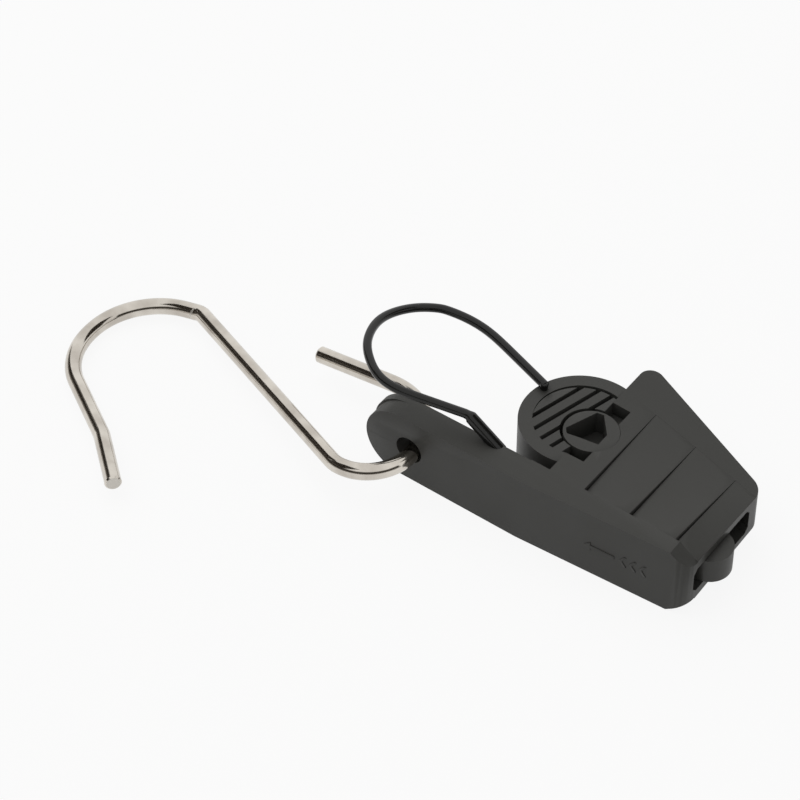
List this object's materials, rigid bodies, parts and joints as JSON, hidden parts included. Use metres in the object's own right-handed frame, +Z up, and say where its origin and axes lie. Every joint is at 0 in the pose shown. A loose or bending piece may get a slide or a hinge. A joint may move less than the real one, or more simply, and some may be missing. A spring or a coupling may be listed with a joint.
{
  "type": "drop cable anchor clamp",
  "caption": "Dead-end anchor clamp for a flat drop cable: moulded body with a tapered pocket and an eye, a sliding wedge with a round ribbed head, a retaining strap and an S hook of bent wire.",
  "frame": {"origin": "on the underside of the arm, below the middle of the eye", "axes": "+X from the eye towards the cable mouth, +Y from the arm towards the wedge, +Z up"},
  "size_m": [0.1689, 0.092, 0.0261],
  "materials": {
    "moulded_plastic": "satin, UV-stabilised black",
    "plated_wire": "bright plated"
  },
  "bodies": {
    "clamp_body": {"clamp_body": "moulded_plastic", "retaining_strap": "moulded_plastic"},
    "wedge": {"wedge": "moulded_plastic"},
    "s_hook": {"s_hook": "plated_wire"}
  },
  "joints": [
    {"name": "hook_swing", "type": "hinge", "parent": "clamp_body", "child": "s_hook", "pos_m": [0, 0, 0.009], "axis": [0, 1, 0], "range_deg": [-90, 15]},
    {"name": "wedge_slide", "type": "slide", "parent": "clamp_body", "child": "wedge", "axis": [-0.9636, 0.2672, 0], "range_m": [0, 0.016]}
  ]
}
